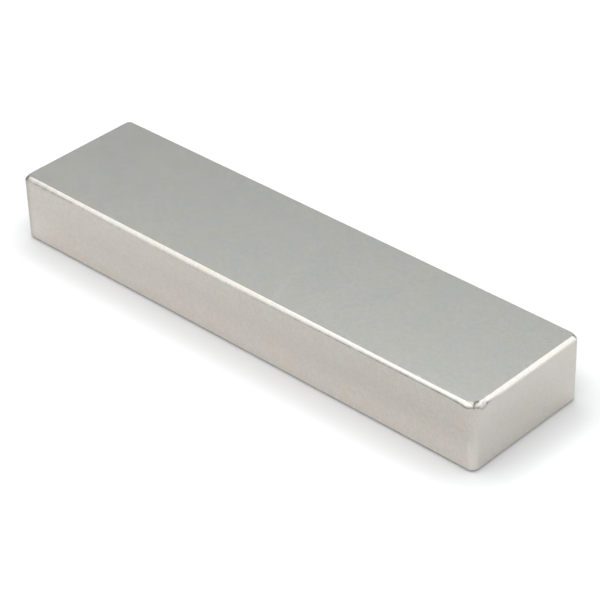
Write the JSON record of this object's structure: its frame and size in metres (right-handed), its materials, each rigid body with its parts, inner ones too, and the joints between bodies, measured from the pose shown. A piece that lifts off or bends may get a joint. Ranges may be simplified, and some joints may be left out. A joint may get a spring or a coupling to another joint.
{
  "type": "block magnet",
  "caption": "Rectangular block magnet in bright nickel plating, with softly broken edges; lies flat on one pole face and holds to steel by either pole face.",
  "frame": {"origin": "middle of the lower pole face, which the block lies on", "axes": "+X along the length, +Y across the width, +Z through the thickness to the upper pole face"},
  "size_m": [0.08, 0.02, 0.01],
  "materials": {
    "nickel_plating": "bright nickel plating with a fine satin grain"
  },
  "bodies": {
    "root": {"magnet_block": "nickel_plating"}
  },
  "joints": []
}
